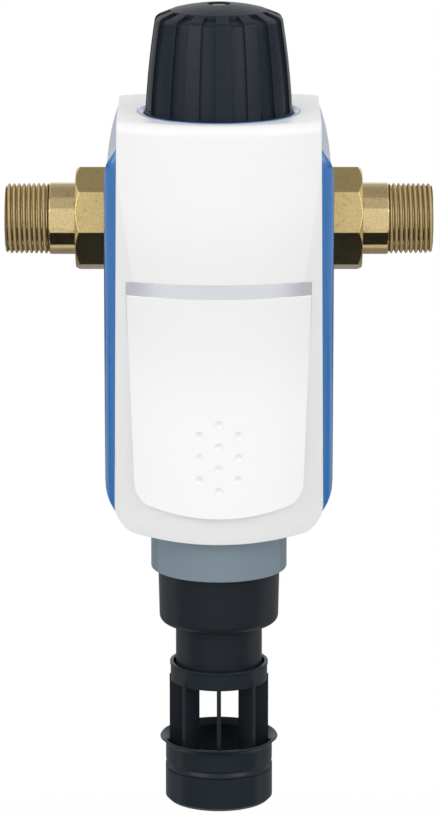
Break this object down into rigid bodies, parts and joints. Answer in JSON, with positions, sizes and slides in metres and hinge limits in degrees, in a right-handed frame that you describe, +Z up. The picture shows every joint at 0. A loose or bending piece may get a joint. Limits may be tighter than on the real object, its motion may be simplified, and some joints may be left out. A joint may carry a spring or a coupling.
{
  "type": "self cleaning filter",
  "caption": "Self-cleaning domestic water filter: fluted knob turns a suction rotor and opens a drain; white and blue covers, brass unions either side, air-gap drain spigot below.",
  "frame": {"origin": "centre of the drain spigot, where its straight wall starts above the lower chamfer", "axes": "+X along the pipe from inlet to outlet, +Y from the front to the wall, +Z up the spindle"},
  "size_m": [0.2002, 0.1228, 0.3755],
  "materials": {
    "white_plastic": "satin moulded",
    "blue_plastic": "satin moulded",
    "silver_trim": "silver coated",
    "black_plastic": "fine grain",
    "grey_plastic": "plain",
    "head_plastic": "glass filled",
    "brass": "machined",
    "steel": "plain",
    "rubber": "smooth",
    "rotor_plastic": "plain"
  },
  "bodies": {
    "housing": {"front_cover": "white_plastic", "front_panel": "white_plastic", "trim_strip": "silver_trim", "rear_cover": "blue_plastic", "cover_nut": "head_plastic", "stop_pin": "steel", "bonnet": "head_plastic", "bonnet_seal": "rubber", "spindle_seals": "rubber", "filter_head": "head_plastic", "flange_gasket": "rubber", "flange_bolts": "steel", "flange_washers": "steel", "connection_module": "brass", "union_gasket_inlet": "rubber", "union_gasket_outlet": "rubber", "tailpiece_inlet": "brass", "tailpiece_outlet": "brass", "lock_ring": "black_plastic", "bowl_seal": "rubber", "filter_bowl": "black_plastic", "label_ring": "grey_plastic", "mesh_support": "head_plastic", "support_seal": "rubber", "filter_mesh": "steel", "drain_seat": "brass", "guide_pins": "steel", "drain_cage": "black_plastic"},
    "turning_works": {"knob": "black_plastic", "knob_screw": "steel", "spindle": "brass", "suction_rotor": "rotor_plastic", "suction_nozzles": "rubber"},
    "drain_valve": {"drain_plug": "brass", "plug_seal": "rubber"},
    "inlet_union_nut": {"union_nut_inlet": "brass"},
    "outlet_union_nut": {"union_nut_outlet": "brass"}
  },
  "joints": [
    {"name": "knob_turn", "type": "hinge", "parent": "housing", "child": "turning_works", "pos_m": [0, 0, 0.3], "axis": [0, 0, 1], "range_deg": [0, 270]},
    {"name": "drain_lift", "type": "slide", "parent": "housing", "child": "drain_valve", "axis": [0, 0, 1], "range_m": [0, 0.00749]},
    {"name": "inlet_nut_turn", "type": "hinge", "parent": "housing", "child": "inlet_union_nut", "pos_m": [-0.056, 0.054, 0.265], "axis": [1, 0, 0], "continuous": true},
    {"name": "outlet_nut_turn", "type": "hinge", "parent": "housing", "child": "outlet_union_nut", "pos_m": [0.056, 0.054, 0.265], "axis": [1, 0, 0], "continuous": true}
  ],
  "couplings": [
    {"joint": "knob_turn", "follows": "drain_lift", "rad_per_m": 628.32}
  ]
}
